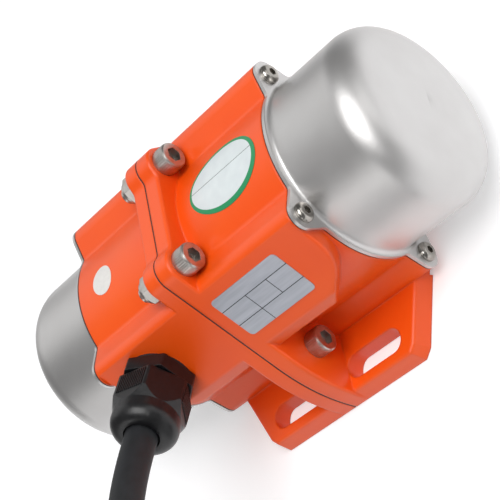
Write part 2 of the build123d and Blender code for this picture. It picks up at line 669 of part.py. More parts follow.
def largest_radii(points):
    """For each corner, the radius that uses 0.45 of the shorter run."""
    radii = []
    for before, here, after in zip(points, points[1:], points[2:]):
        turn = (here - before).get_angle(after - here)
        shorter = min((here - before).length, (after - here).length)
        radii.append(0.45 * shorter / tan(radians(turn) / 2))
    return radii


def power_cable():
    points = cable_route()
    radii = largest_radii(points)
    path = FilletPolyline(*points, radius=radii)
    section = Plane(origin=points[0], z_dir=points[1] - points[0]) * Circle(CABLE_RADIUS)
    cable = sweep(section, path=path)
    expected = pi * CABLE_RADIUS**2 * path.length
    print("cable radii", [round(r, 1) for r in radii])
    print("in diameters", [round(r / CABLE_DIAMETER, 1) for r in radii])
    print("cable length", round(path.length, 1))
    print("volume over section times length", round(cable.volume / expected, 5))
    return cable


def coil_radii():
    """Middle radii of the coil's outermost and innermost place."""
    return COIL_OUTER_TURN, COIL_OUTER_TURN - COIL_TURNS * CABLE_DIAMETER


def spiral_face(first_radius):
    """What lies inside one turn of the coil's spiral, which closes with a step one cable wide."""
    points = []
    for number in range(25):
        turn = radians(COIL_START + 15 * number)
        radius = first_radius - CABLE_DIAMETER * number / 24
        points.append((radius * cos(turn), radius * sin(turn)))
    edge = Spline(*points)
    step = Line(points[-1], points[0])
    return make_face([*edge.edges(), *step.edges()])


def power_cable_coil():
    """The coiled cable as one block: two turns side by side, flat on the ground."""
    outer = COIL_OUTER_TURN + CABLE_RADIUS
    inner = outer - COIL_TURNS * CABLE_DIAMETER
    ring = spiral_face(outer) - spiral_face(inner)
    return Pos(COIL_CENTRE_X, COIL_CENTRE_Y, 0) * extrude(ring, CABLE_DIAMETER)


def cable_cores():
    """The three stripped cores at the cable's far end, which lie inside the coil."""
    inner = COIL_OUTER_TURN - COIL_TURNS * CABLE_DIAMETER
    cores = []
    for number, bend in ((1, 20.6), (0, 24.9), (-1, 30.0)):
        arc = JernArc((0, -inner + 2.7 * number), (1, 0), bend, degrees(CORE_LENGTH / bend))
        path = Pos(COIL_CENTRE_X, COIL_CENTRE_Y, CORE_REST) * Rot(0, 0, COIL_START - 270) * arc
        section = Plane(origin=path @ 0, z_dir=path % 0) * Circle(CORE_DIAMETER / 2)
        cores.append(sweep(section, path=path))
    return cores


def name_plate():
    outline = RectangleRounded(PLATE_LENGTH, PLATE_WIDTH, PLATE_CORNER)
    return extrude(boss_plane(BOSS_DISTANCE, PLATE_X) * Pos(0, PLATE_UP) * outline, PLATE_THICKNESS)


def wrapped_label(x, length, width):
    """A round or oval label that follows the top of the barrel."""
    shell = tube(HOUSING_RADIUS + LABEL_THICKNESS, HOUSING_RADIUS, x - length, x + length)
    wrapped = HOUSING_RADIUS * sin(width / 2 / HOUSING_RADIUS)
    column = extrude(Pos(x, 0, 0) * Ellipse(length / 2, wrapped), 2 * HOUSING_RADIUS)
    return shell & column


def spoke_slots(count, width, inner, outer, start, end):
    """Radial slots along X, with their count, width and the two radii that they run between."""
    bar = Pos((inner + outer) / 2, 0) * Rectangle(outer - inner, width)
    slots = [Rot(0, 0, 360 * number / count) * bar for number in range(count)]
    return [prism(slot, start, end) for slot in slots]


def stator_core():
    core = tube(STATOR_RADIUS, STATOR_BORE, -STATOR_END, STATOR_END)
    reach = STATOR_END + 1
    core -= spoke_slots(SLOT_COUNT, STATOR_SLOT_WIDTH, STATOR_SLOT_ROOT, STATOR_SLOT_TOP, -reach, reach)
    mouth_end = STATOR_SLOT_ROOT + 1
    return core - spoke_slots(SLOT_COUNT, STATOR_SLOT_MOUTH, STATOR_BORE - 1, mouth_end, -reach, reach)


def stator_windings():
    """The copper in the slots and the two end windings, as one wound set."""
    width = STATOR_SLOT_WIDTH - 2 * SLOT_LINER
    inner = STATOR_SLOT_ROOT + SLOT_LINER
    outer = STATOR_SLOT_TOP - SLOT_LINER
    start = STATOR_END + SLOT_LINER
    end = STATOR_END + END_WINDING_LENGTH
    ring = tube(END_WINDING_RADIUS, inner, start, end)
    ring = fillet(ring.edges().filter_by(GeomType.CIRCLE), 3)
    return ring + ring.mirror(MIRROR) + spoke_slots(SLOT_COUNT, width, inner, outer, -start - 4, start + 4)


def rotor_core():
    core = tube(ROTOR_RADIUS, ROTOR_SEAT_RADIUS + PRESS_GAP, -STATOR_END, STATOR_END)
    return core - rotor_bars(ROTOR_BAR_RADIUS, STATOR_END + 1)


def rotor_bars(radius, reach):
    circle = ROTOR_RADIUS - ROTOR_BAR_RADIUS - 1
    turns = [2 * pi * number / ROTOR_BAR_COUNT for number in range(ROTOR_BAR_COUNT)]
    return [rod(radius, -reach, reach, circle * cos(turn), circle * sin(turn)) for turn in turns]


def rotor_cage():
    end = STATOR_END + ROTOR_END_RING_LENGTH
    ring = tube(ROTOR_RADIUS - 0.6, ROTOR_END_RING_BORE, STATOR_END, end)
    return ring + ring.mirror(MIRROR) + rotor_bars(ROTOR_BAR_RADIUS, STATOR_END + 1)


def shaft():
    bearing_seat = BEARING_BORE / 2
    body = rod(ROTOR_SEAT_RADIUS, -STATOR_END, STATOR_END)
    side = rod(COLLAR_RADIUS, STATOR_END, BEARING_INNER_FACE)
    side += rod(bearing_seat, BEARING_INNER_FACE, WEIGHT_START - FACE_GAP)
    side += rod(WEIGHT_SEAT_RADIUS, WEIGHT_START - FACE_GAP, SHAFT_END)
    groove_start = BEARING_OUTER_FACE + FACE_GAP
    groove_end = groove_start + CIRCLIP_THICKNESS + 2 * FACE_GAP
    side -= tube(bearing_seat + 1, bearing_seat - CIRCLIP_DEPTH, groove_start, groove_end)
    side -= rod(M5_RADIUS + THREAD_GAP, SHAFT_END - END_SCREW_LENGTH, SHAFT_END + 1)
    side -= key_blank(KEY_SIZE + 2 * RUNNING_GAP, 0)
    return body + side + side.mirror(MIRROR)


def key_blank(width, relief):
    """The key between the shaft and the inner weight, on the side that the weight hangs to."""
    low = WEIGHT_SEAT_RADIUS - KEY_DEPTH
    start = WEIGHT_START + 0.5
    end = WEIGHT_START + WEIGHT_THICKNESS - 0.5
    middle = -(low + KEY_SIZE / 2)
    return Pos((start + end) / 2, 0, middle) * Box(end - start + relief, width, KEY_SIZE + relief)


def bearing_inner_race():
    outer = BALL_CIRCLE - BALL_DIAMETER / 2 + 0.7
    race = tube(outer, BEARING_BORE / 2 + PRESS_GAP, BEARING_INNER_FACE, BEARING_OUTER_FACE)
    return race - ball_groove()


def bearing_outer_race():
    inner = BALL_CIRCLE + BALL_DIAMETER / 2 - 0.7
    race = tube(BEARING_OUTSIDE / 2, inner, BEARING_INNER_FACE, BEARING_OUTER_FACE)
    return race - ball_groove()


def ball_groove():
    section = Pos(BEARING_MIDDLE, BALL_CIRCLE) * Circle(BALL_DIAMETER / 2 + RACE_GAP)
    return revolve(Plane.XY * section, Axis.X)


def ball_places():
    turns = [2 * pi * number / BALL_COUNT for number in range(BALL_COUNT)]
    return [(-BALL_CIRCLE * sin(turn), BALL_CIRCLE * cos(turn)) for turn in turns]


def bearing_balls():
    return [Pos(BEARING_MIDDLE, y, z) * Sphere(BALL_DIAMETER / 2) for y, z in ball_places()]


def bearing_cage():
    inner = BALL_CIRCLE - CAGE_THICKNESS / 2
    outer = BALL_CIRCLE + CAGE_THICKNESS / 2
    start = BEARING_MIDDLE - CAGE_WIDTH / 2
    cage = tube(outer, inner, start, start + CAGE_WIDTH)
    pocket = Sphere(BALL_DIAMETER / 2 + RACE_GAP)
    first = Pos(BEARING_MIDDLE, 0, BALL_CIRCLE) * pocket
    return cage - [Rot(360 * number / BALL_COUNT, 0, 0) * first for number in range(BALL_COUNT)]


def bearing_shields():
    outer = BALL_CIRCLE + BALL_DIAMETER / 2 - 0.7 - FACE_GAP
    inner = BALL_CIRCLE - BALL_DIAMETER / 2 + 0.7 + 0.3
    near = BEARING_INNER_FACE + 0.2
    far = BEARING_OUTER_FACE - 0.2
    pair = [
        tube(outer, inner, near, near + SHIELD_THICKNESS), tube(outer, inner, far - SHIELD_THICKNESS, far)
    ]
    return pair


def bearing_circlip():
    """A ring with open ends, in the groove outside the bearing."""
    start = BEARING_OUTER_FACE + 2 * FACE_GAP
    ring = tube(
        CIRCLIP_RADIUS, BEARING_BORE / 2 - CIRCLIP_DEPTH + RUNNING_GAP, start, start + CIRCLIP_THICKNESS
    )
    return ring - Pos(start, 0, CIRCLIP_RADIUS) * Box(4, 5, CIRCLIP_RADIUS)


def preload_washer():
    """A coned spring washer between the rear bearing and its shoulder."""
    start = BEARING_OUTER_FACE + FACE_GAP
    end = BEARING_OUTER_FACE + PRELOAD_GAP - FACE_GAP
    outer = BEARING_OUTSIDE / 2 - 0.3
    inner = outer - 3.5
    section = Polyline(
        (start, outer), (start + PRELOAD_SHEET, outer), (end, inner), (end - PRELOAD_SHEET, inner), close=True
    )
    return revolve(Plane.XY * make_face(section), Axis.X).mirror(MIRROR)


def weight_outline():
    """An eccentric weight in Y and Z: a hub, and a sector that hangs down."""
    turn = radians(WEIGHT_HALF_ANGLE)
    side = WEIGHT_RADIUS * sin(turn)
    low = -WEIGHT_RADIUS * cos(turn)
    arc = ThreePointArc((-side, low), (0, -WEIGHT_RADIUS), (side, low))
    rest = Polyline((side, low), (0, 0), (-side, low))
    return make_face([*arc.edges(), *rest.edges()]) + Circle(WEIGHT_HUB_RADIUS)


def inner_weight():
    weight = prism(weight_outline(), WEIGHT_START, WEIGHT_START + WEIGHT_THICKNESS)
    weight -= rod(WEIGHT_SEAT_RADIUS + RUNNING_GAP, WEIGHT_START - 1, OUTER_WEIGHT_START)
    low = WEIGHT_SEAT_RADIUS - KEY_DEPTH + KEY_SIZE + RUNNING_GAP
    keyway = Pos(WEIGHT_START + WEIGHT_THICKNESS / 2, 0, -low / 2) * Box(
        WEIGHT_THICKNESS + 2, KEY_SIZE + 2 * RUNNING_GAP, low
    )
    return weight - keyway


def outer_weight():
    """The adjustable weight. Its hub is slit above the bore, and a screw across the slit clamps it."""
    middle = (OUTER_WEIGHT_START + OUTER_WEIGHT_END) / 2
    weight = prism(weight_outline(), OUTER_WEIGHT_START, OUTER_WEIGHT_END)
    weight -= rod(WEIGHT_SEAT_RADIUS + RUNNING_GAP, OUTER_WEIGHT_START - 1, OUTER_WEIGHT_END + 1)
    slit = Box(WEIGHT_THICKNESS + 2, WEIGHT_SLIT, WEIGHT_HUB_RADIUS)
    weight -= Pos(middle, 0, WEIGHT_HUB_RADIUS / 2 + 2) * slit
    across = Rot(0, 0, -90) * rod(M5_RADIUS + THREAD_GAP, -WEIGHT_HUB_RADIUS, WEIGHT_HUB_RADIUS)
    head_way = Rot(0, 0, -90) * rod(M5_HEAD_RADIUS + 0.2, CLAMP_SEAT, CLAMP_SEAT + WEIGHT_HUB_RADIUS)
    hole = Pos(middle, 0, CLAMP_HEIGHT)
    return weight - hole * across - hole * head_way


def clamp_screw():
    middle = (OUTER_WEIGHT_START + OUTER_WEIGHT_END) / 2
    screw = socket_screw(M5_RADIUS, M5_HEAD_RADIUS, M5_HEAD_HEIGHT, M5_SOCKET, CLAMP_SEAT, -CLAMP_REACH)
    return Pos(middle, 0, CLAMP_HEIGHT) * Rot(0, 0, -90) * screw


def weight_spacer():
    start = WEIGHT_START + WEIGHT_THICKNESS + FACE_GAP
    return tube(SPACER_RADIUS, WEIGHT_SEAT_RADIUS + RUNNING_GAP, start, OUTER_WEIGHT_START - FACE_GAP)


def end_washer():
    return tube(END_WASHER_RADIUS, M5_RADIUS + 0.2, WASHER_START, WASHER_START + END_WASHER_THICKNESS)


def end_screw():
    seat = WASHER_START + END_WASHER_THICKNESS
    tip = SHAFT_END - END_SCREW_LENGTH + 2
    return socket_screw(M5_RADIUS, M5_HEAD_RADIUS, M5_HEAD_HEIGHT, M5_SOCKET, seat, tip)


def capacitor():
    outer = BOSS_DISTANCE - BOSS_ROOF - FACE_GAP
    middle = CAPACITOR_START + CAPACITOR_LENGTH / 2
    body = Box(CAPACITOR_LENGTH, CAPACITOR_WIDTH, CAPACITOR_THICKNESS)
    return boss_plane(outer - CAPACITOR_THICKNESS / 2, middle) * fillet(body.edges().filter_by(Axis.Z), 2)


def capacitor_leads():
    """Two short wires from the capacitor to the front winding."""
    top = BOSS_DISTANCE - BOSS_ROOF - FACE_GAP - CAPACITOR_THICKNESS
    wires = []
    for side in (-1, 1):
        x = STATOR_END + END_WINDING_LENGTH / 2 + 1
        reach = sqrt(END_WINDING_RADIUS**2 - (5 - LEAD_RADIUS)**2) + FACE_GAP
        wire = extrude(boss_plane(reach, x) * Pos(0, 5 * side) * Circle(LEAD_RADIUS), top - reach)
        wires.append(wire)
    return wires


def save(node, shape, lift=SHAFT_HEIGHT):
    """Writes one sub-part, moved up from the shaft's axis to its place above the base."""
    if isinstance(shape, list):
        shape = group(shape)
    solids = [Pos(0, 0, lift) * solid for solid in shape.solids()]
    shape = solids[0] if len(solids) == 1 else Compound(children=solids)
    shape.label = node
    export_step(shape, f"parts/{node}.step")


def mirrored(shapes):
    """The same pieces at the rear."""
    shapes = shapes if isinstance(shapes, list) else [shapes]
    return [shape.mirror(MIRROR) for shape in shapes]


def pair(shapes):
    """The same pieces at both ends, as one group."""
    shapes = shapes if isinstance(shapes, list) else [shapes]
    return shapes + mirrored(shapes)


os.makedirs("parts", exist_ok=True)
cap = front_cap()
cap_gasket = front_cap_gasket()
cap_screws = [button_screw(y, z) for y, z in lug_places()]
balls = bearing_balls()
cage = bearing_cage()
inner_block = inner_weight()
outer_block = outer_weight()
clamp = clamp_screw()

save("front_housing", front_housing())
save("rear_housing", rear_housing())
save("housing_gasket", housing_gasket())
save("housing_screws", housing_screws())
save("housing_nuts", housing_nuts())
save("front_cap", cap)
save("rear_cap", mirrored(cap))
save("front_cap_gasket", cap_gasket)
save("rear_cap_gasket", mirrored(cap_gasket))
save("front_cap_screws", cap_screws)
save("rear_cap_screws", mirrored(cap_screws))
save("gland_washer", gland_washer())
save("gland_body", gland_body())
save("gland_seal", gland_seal())
save("gland_nut", gland_nut())
save("cable_entry", cable_entry())
save("winding_leads", winding_leads())
save("power_cable", power_cable(), 0)
save("power_cable_coil", power_cable_coil(), 0)
save("cable_cores", cable_cores(), 0)
save("name_plate", name_plate())
save("round_label", wrapped_label(ROUND_LABEL_X, ROUND_LABEL_LENGTH, ROUND_LABEL_WIDTH))
save("round_sticker", wrapped_label(STICKER_X, STICKER_DIAMETER, STICKER_DIAMETER))
save("stator_core", stator_core())
save("stator_windings", stator_windings())
save("capacitor", capacitor())
save("capacitor_leads", capacitor_leads())
save("shaft", shaft())
save("rotor_core", rotor_core())
save("rotor_cage", rotor_cage())
save("bearing_inner_races", pair(bearing_inner_race()))
save("bearing_outer_races", pair(bearing_outer_race()))
save("bearing_shields", pair(bearing_shields()))
save("front_bearing_balls", balls)
save("rear_bearing_balls", mirrored(balls))
save("front_bearing_cage", cage)
save("rear_bearing_cage", mirrored(cage))
save("bearing_circlips", pair(bearing_circlip()))
save("preload_washer", preload_washer())
save("front_inner_weight", inner_block)
save("rear_inner_weight", mirrored(inner_block))
save("front_outer_weight", outer_block)
save("rear_outer_weight", mirrored(outer_block))
save("front_clamp_screw", clamp)
save("rear_clamp_screw", mirrored(clamp))
save("weight_keys", pair(key_blank(KEY_SIZE, 0)))
save("weight_spacers", pair(weight_spacer()))
save("end_washers", pair(end_washer()))
save("end_screws", pair(end_screw()))
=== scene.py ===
# %% [markdown]
# # A vibration motor
# A vibration motor is a small electric motor with a lopsided weight at each end of its shaft. It is bolted to a
# chute or a feeder, and it shakes parts along. This scene dresses its measured solids: an orange painted casting in
# two halves, two bare steel end caps, a black cable gland and its cable. The solids arrive in metres and in their
# final place, so nothing here is moved to fit. What is new is modelled where the solid alone looks too plain.

# %% Load the measured solids
import bpy, math
from mathutils import Matrix, Vector


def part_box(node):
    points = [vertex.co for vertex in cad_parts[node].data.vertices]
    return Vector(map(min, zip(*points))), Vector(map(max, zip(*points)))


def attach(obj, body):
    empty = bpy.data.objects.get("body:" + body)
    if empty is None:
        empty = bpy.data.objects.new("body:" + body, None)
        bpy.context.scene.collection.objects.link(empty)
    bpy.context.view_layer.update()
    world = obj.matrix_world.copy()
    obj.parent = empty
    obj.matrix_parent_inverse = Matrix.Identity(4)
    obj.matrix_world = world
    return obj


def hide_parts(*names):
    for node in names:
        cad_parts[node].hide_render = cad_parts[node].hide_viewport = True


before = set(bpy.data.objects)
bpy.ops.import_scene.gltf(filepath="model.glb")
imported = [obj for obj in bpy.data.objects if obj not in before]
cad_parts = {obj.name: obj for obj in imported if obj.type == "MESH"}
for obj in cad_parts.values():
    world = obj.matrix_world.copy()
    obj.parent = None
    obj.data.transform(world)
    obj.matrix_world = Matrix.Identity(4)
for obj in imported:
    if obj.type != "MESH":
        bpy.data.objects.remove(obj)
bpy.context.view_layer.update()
bpy.ops.object.select_all(action="DESELECT")

# %% [markdown]
# ## Camera
# The photograph looks down on the front end from the gland's side, and the camera is rolled, so that the shaft runs
# up to the right. A long lens keeps the far cap nearly as large as the near one. The three directions below are the
# picture's right, its up and the way back to the eye.

# %% Place the camera
SHAFT_HEIGHT = 0.0373
right = Vector((0.62671, -0.18633, -0.75664))
up = Vector((0.51174, 0.83068, 0.21930))
back = Vector((0.58767, -0.52464, 0.61595))
eye = Vector((0.30399, -0.27183, 0.31667 + SHAFT_HEIGHT))
camera_data = bpy.data.cameras.new("camera")
camera_data.lens = 104.43
camera_data.sensor_width = 36
camera_data.clip_start = 0.01
camera = bpy.data.objects.new("camera", camera_data)
bpy.context.collection.objects.link(camera)
turn = Matrix((right, up, back)).transposed().to_4x4()
camera.matrix_world = Matrix.Translation(eye) @ turn
bpy.context.scene.camera = camera
print("camera is", round(eye.length * 1000), "mm from the base's middle")

# %% [markdown]
# ## Copies of one model
# Ribs and knurled rings are each modelled once. A copy gets its own mesh, moved to its place, and the copies are then
# joined into one piece.

# %% Functions for copies
def copy_to(model, matrix):
    """A copy of the model with its own mesh, moved by the matrix."""
    copy = bpy.data.objects.new(model.name, model.data.copy())
    bpy.context.collection.objects.link(copy)
    copy.data.transform(matrix)
    return copy


def joined(copies, name):
    """The copies as one object."""
    bpy.ops.object.select_all(action="DESELECT")
    for copy in copies:
        copy.select_set(True)
    bpy.context.view_layer.objects.active = copies[0]
    bpy.ops.object.join()
    whole = bpy.context.object
    whole.name = name
    whole.select_set(False)
    return whole


# %% [markdown]
# ## The cable
# The gland lets out a thick round cable. Only its first few centimetres show, and the rest has to lie somewhere: it
# sags to the ground and rests there in two turns, as it would on a bench. A cable like this has no sharp bend, so
# one NURBS curve of order 3 makes it, with the bends' corners as its control points. The curve is as stiff as the
# points are far apart.

# %% Lay the cable's route
CABLE_DIAMETER = 0.0116
FIRST_RUN = 0.0276
BOSS_TILT = math.radians(26.9)
GLAND_X = -0.0356
GLAND_REACH = 0.0705
gland_axis = Vector((0, -math.cos(BOSS_TILT), math.sin(BOSS_TILT)))
gland_foot = Vector((GLAND_X, 0, SHAFT_HEIGHT))
gland_exit = gland_foot + gland_axis * GLAND_REACH
route = [gland_exit, gland_exit + gland_axis * FIRST_RUN]
route += [
    Vector(p) for p in (
        (-0.0358, -0.1149, 0.0831), (-0.0523, -0.1612, 0.0735), (-0.0651, -0.2001, 0.0435),
        (-0.0593, -0.2259, 0.0267), (-0.0403, -0.2467, 0.0133), (-0.0122, -0.2580, 0.0058),
        (0.0190, -0.2574, 0.0058),
    )
]
COIL_START = math.radians(271.1)
COIL_RADIUS = 0.0694
COIL_TURNS = 2
coil_centre = Vector((0.0177, -0.1880, 0.0058))
STEPS = 16
half_step = math.pi / STEPS
for number in range(COIL_TURNS * STEPS):
    angle = COIL_START + (2 * number + 1) * half_step
    radius = (COIL_RADIUS - CABLE_DIAMETER * (number + 0.5) / STEPS) / math.cos(half_step)
    route.append(coil_centre + radius * Vector((math.cos(angle), math.sin(angle), 0)))
inner_radius = COIL_RADIUS - COIL_TURNS * CABLE_DIAMETER
route.append(coil_centre + inner_radius * Vector((math.cos(COIL_START), math.sin(COIL_START), 0)))
print(len(route), "points for the cable")

# %% Make the cable from its route
line = bpy.data.curves.new("cable", "CURVE")
line.dimensions = "3D"
spline = line.splines.new("NURBS")
spline.points.add(len(route) - 1)
for point, place in zip(spline.points, route):
    point.co = (*place, 1)
    point.radius = CABLE_DIAMETER / 2
spline.order_u = 3
spline.use_endpoint_u = True
spline.resolution_u = 10
cable = bpy.data.objects.new("cable", line)
bpy.context.collection.objects.link(cable)
centre = bpy.data.meshes.new_from_object(cable)
bpy.data.meshes.remove(centre)
line.bevel_depth = 1
line.bevel_resolution = 8
line.use_fill_caps = True
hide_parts("power_cable", "power_cable_coil")
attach(cable, "housing")

# %% [markdown]
# ## Ribs on the gland's nut
# The nut is turned by hand, so every second flat carries fine ribs along it. One rib is a cube, drawn out to a thin
# bar with bevelled edges. Thirteen copies stand side by side on a flat, and all of them are joined into one piece. A
# rib starts just inside the flat, so that no gap shows under it.

# %% Model one rib
FLAT_DISTANCE = 0.0120
NUT_START = 0.0495
NUT_TURN = 75
RIB_SETBACK = 0.0007
RIB_LENGTH = 0.0082
RIB_WIDTH = 0.00050
RIB_HEIGHT = 0.00070
RIB_PITCH = 0.00088
bpy.ops.mesh.primitive_cube_add(size=1, location=(0, 0, 0))
rib = bpy.context.object
bpy.ops.object.mode_set(mode="EDIT")
bpy.ops.mesh.select_all(action="SELECT")
bpy.ops.transform.resize(value=(RIB_WIDTH, RIB_HEIGHT, RIB_LENGTH))
bpy.ops.mesh.bevel(offset=0.00014, segments=2, affect="EDGES")
bpy.ops.object.mode_set(mode="OBJECT")
print("one rib has", len(rib.data.polygons), "faces")

# %% Set the ribs round the nut
nut_middle = gland_foot + gland_axis * (NUT_START + RIB_SETBACK + RIB_LENGTH / 2)
ribs = []
for flat in range(3):
    turned = Matrix.Rotation(math.radians(NUT_TURN + 120 * flat), 3, gland_axis)
    outward = turned @ Vector((1, 0, 0))
    sideways = gland_axis.cross(outward)
    frame_of_flat = Matrix((sideways, outward, gland_axis)).transposed().to_4x4()
    for number in range(-6, 7):
        place = nut_middle + outward * FLAT_DISTANCE + sideways * (number * RIB_PITCH)
        ribs.append(copy_to(rib, Matrix.Translation(place) @ frame_of_flat))
bpy.data.objects.remove(rib)
gland_ribs = joined(ribs, "gland_ribs")
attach(gland_ribs, "housing")
print("the gland has", len(ribs), "ribs")

# %% [markdown]
# ## Knurled screw heads
# The flange screws have knurled heads, for fingers to turn them. A knurl is a ring of fine ridges. A cylinder
# without ends is cut into many sides, every second edge is moved out by a tenth of a millimetre, and Solidify gives
# the ring a wall that reaches into the head. The ring keeps clear of the head's chamfer.

# %% Model one knurled ring
HEAD_RADIUS = 0.0050
HEAD_HEIGHT = 0.0060
RING_MIDDLE = 0.0028
RING_WIDTH = 0.0049
RIDGES = 44
bpy.ops.mesh.primitive_cylinder_add(
    vertices=2 * RIDGES, radius=HEAD_RADIUS + 0.00002, depth=RING_WIDTH, end_fill_type="NOTHING",
    location=(0, 0, 0), rotation=(0, math.radians(90), 0),
)
ring = bpy.context.object
bpy.ops.object.transform_apply(location=True, rotation=True, scale=True)
turns = [math.atan2(v.co.z, v.co.y) / math.pi * RIDGES for v in ring.data.vertices]
bpy.ops.object.mode_set(mode="EDIT")
bpy.ops.mesh.select_all(action="DESELECT")
bpy.ops.object.mode_set(mode="OBJECT")
for vertex, turn in zip(ring.data.vertices, turns):
    vertex.select = round(turn) % 2 == 0
bpy.ops.object.mode_set(mode="EDIT")
bpy.ops.transform.resize(value=(0.97, 1.022, 1.022), center_override=(0, 0, 0))
bpy.ops.object.mode_set(mode="OBJECT")
wall = ring.modifiers.new("wall", "SOLIDIFY")
wall.thickness = 0.0003
wall.offset = -1
bpy.ops.object.modifier_apply(modifier="wall")
print("one ring has", len(ring.data.polygons), "faces")

# %% Slip a ring over each head
SCREW_PLACES = ((0.0206, 0.0378), (0.0405, -0.0160))
head_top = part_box("housing_screws")[1][0]
rings = []
for out, height in SCREW_PLACES:
    for y in (-out, out):
        place = (head_top - HEAD_HEIGHT + RING_MIDDLE, y, SHAFT_HEIGHT + height)
        rings.append(copy_to(ring, Matrix.Translation(place)))
bpy.data.objects.remove(ring)
knurling = joined(rings, "knurling")
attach(knurling, "housing")
print("knurled heads:", len(rings))

# %% [markdown]
# ## Ground and light
# A pale floor and large soft lamps show the paint's colour as it is. The key light comes from above the front end,
# which puts a highlight on the rounded corner of the cap. Weaker lamps in front, at the gland's side and behind keep
# the other faces readable and give the bare steel something to reflect.

# %% Lay the floor
bpy.ops.mesh.primitive_plane_add(size=6, location=(0, 0, -0.0003))
floor = bpy.context.object
floor.name = "floor"
floor.select_set(False)


def lamp(name, place, target, size, power):
    """A soft lamp that points at the target."""
    data = bpy.data.lights.new(name, "AREA")
    data.shape = "RECTANGLE"
    data.size, data.size_y = size
    data.energy = power
    thing = bpy.data.objects.new(name, data)
    bpy.context.collection.objects.link(thing)
    thing.location = place
    thing.rotation_euler = (Vector(target) - Vector(place)).to_track_quat("-Z", "Y").to_euler()
    return thing


lamps = [
    lamp("key", (0.36, -0.14, 0.96), (0, 0, 0.04), (0.75, 0.75), 8.6),
    lamp("front", (1.03, 0.21, 0.39), (0.05, 0, 0.05), (0.7, 0.6), 1.8),
    lamp("side", (-0.45, -0.90, 0.35), (0, 0, 0.04), (0.77, 0.43), 1.6),
    lamp("back", (-0.62, 0.56, 0.66), (0, 0, 0.04), (0.90, 0.90), 2.0),
]
print(len(lamps), "lamps")

# %% [markdown]
# ## Writing materials as sums
# A material's pattern is arithmetic on coordinates. The class below wraps a socket, so that an expression such as
# `mask * 0.5 + 0.2` adds the Math nodes by itself. `Finish` starts a material and makes any other node.

# %% A wrapper for sockets
class Value:
    """A number that varies over the surface. Arithmetic on it adds Math nodes."""

    def __init__(self, finish, socket):
        self.finish = finish
        self.socket = socket

    def math(self, operation, *others):
        return self.finish.node("ShaderNodeMath", {"operation": operation}, self, *others)

    def __add__(self, other): return self.math("ADD", other)
    def __radd__(self, other): return self.math("ADD", other)
    def __sub__(self, other): return self.math("SUBTRACT", other)
    def __rsub__(self, other): return self.finish.node("ShaderNodeMath", {"operation": "SUBTRACT"}, other, self)
    def __mul__(self, other): return self.math("MULTIPLY", other)
    def __rmul__(self, other): return self.math("MULTIPLY", other)
    def __truediv__(self, other): return self.math("DIVIDE", other)
    def __lt__(self, other): return self.math("LESS_THAN", other)
    def __gt__(self, other): return self.math("GREATER_THAN", other)
    def abs(self): return self.math("ABSOLUTE")
    def sin(self): return self.math("SINE")
    def root(self): return self.math("SQRT")
    def most(self, other): return self.math("MAXIMUM", other)


class Finish:
    """A material with one Principled shader, whose constant inputs are set on its sockets."""

    def __init__(self, name, **constants):
        self.material = bpy.data.materials.new(name)
        self.material.use_nodes = True
        self.tree = self.material.node_tree
        self.shader = self.tree.nodes["Principled BSDF"]
        for socket, value in constants.items():
            self.shader.inputs[socket.replace("_", " ")].default_value = value

    def node(self, kind, settings=None, *inputs, out=0, **named):
        """A node: its settings first, then its inputs by order or by name."""
        node = self.tree.nodes.new(kind)
        for key, value in (settings or {}).items():
            setattr(node, key, value)
        slots = [(node.inputs[number], value) for number, value in enumerate(inputs) if value is not None]
        slots += [(node.inputs[key.replace("_", " ")], value) for key, value in named.items()]
        for socket, value in slots:
            if isinstance(value, Value):
                self.tree.links.new(value.socket, socket)
            else:
                socket.default_value = value
        return Value(self, node.outputs[out])

    def place(self):
        """Object coordinates, in metres."""
        return self.node("ShaderNodeTexCoord", out="Object")

    def split(self, vector):
        """The three numbers of a vector."""
        parts = self.node("ShaderNodeSeparateXYZ", None, vector)
        return [Value(self, parts.socket.node.outputs[number]) for number in range(3)]

    def noise(self, scale, detail=2.0, roughness=0.5, at=None):
        """Cloudy noise between 0 and 1."""
        at = at or self.place()
        return self.node("ShaderNodeTexNoise", None, Vector=at, Scale=scale, Detail=detail, Roughness=roughness)

    def stretched(self, scales, at=None):
        """The coordinates multiplied by three numbers."""
        at = at or self.place()
        return self.node("ShaderNodeMapping", {"vector_type": "POINT"}, at, Scale=scales)

    def ramp(self, value, stops):
        """Colours or greys along a value."""
        result = self.node("ShaderNodeValToRGB", None, value)
        elements = result.socket.node.color_ramp.elements
        while len(elements) < len(stops):
            elements.new(0.5)
        for element, (spot, colour) in zip(elements, stops):
            element.position = spot
            element.color = colour
        return result

    def mix(self, factor, a, b):
        """Two colours by a factor."""
        node = self.tree.nodes.new("ShaderNodeMix")
        node.data_type = "RGBA"
        for socket, value in ((node.inputs[0], factor), (node.inputs[6], a), (node.inputs[7], b)):
            if isinstance(value, Value):
                self.tree.links.new(value.socket, socket)
            else:
                socket.default_value = value
        return Value(self, node.outputs[2])

    def feed(self, **links):
        """Links values to the shader's own sockets."""
        for name, value in links.items():
            self.tree.links.new(value.socket, self.shader.inputs[name.replace("_", " ")])
        return self

    def relief(self, height, strength, distance=0.001, rounding=0.0):
        """Bump from a height, over edges that are rounded by so many metres."""
        named = {"Strength": strength, "Distance": distance, "Height": height}
        if rounding:
            named["Normal"] = self.node("ShaderNodeBevel", {"samples": 6}, Radius=rounding)
        return self.feed(Normal=self.node("ShaderNodeBump", None, **named))


def rgb(red, green, blue):
    """A colour as a picture program names it, 0 to 255, as the linear values that a shader takes."""
    def linear(part):
        part /= 255
        return part / 12.92 if part <= 0.04045 else ((part + 0.055) / 1.055) ** 2.4
    return (linear(red), linear(green), linear(blue), 1)


print("orange is", [round(c, 3) for c in rgb(235, 84, 20)])

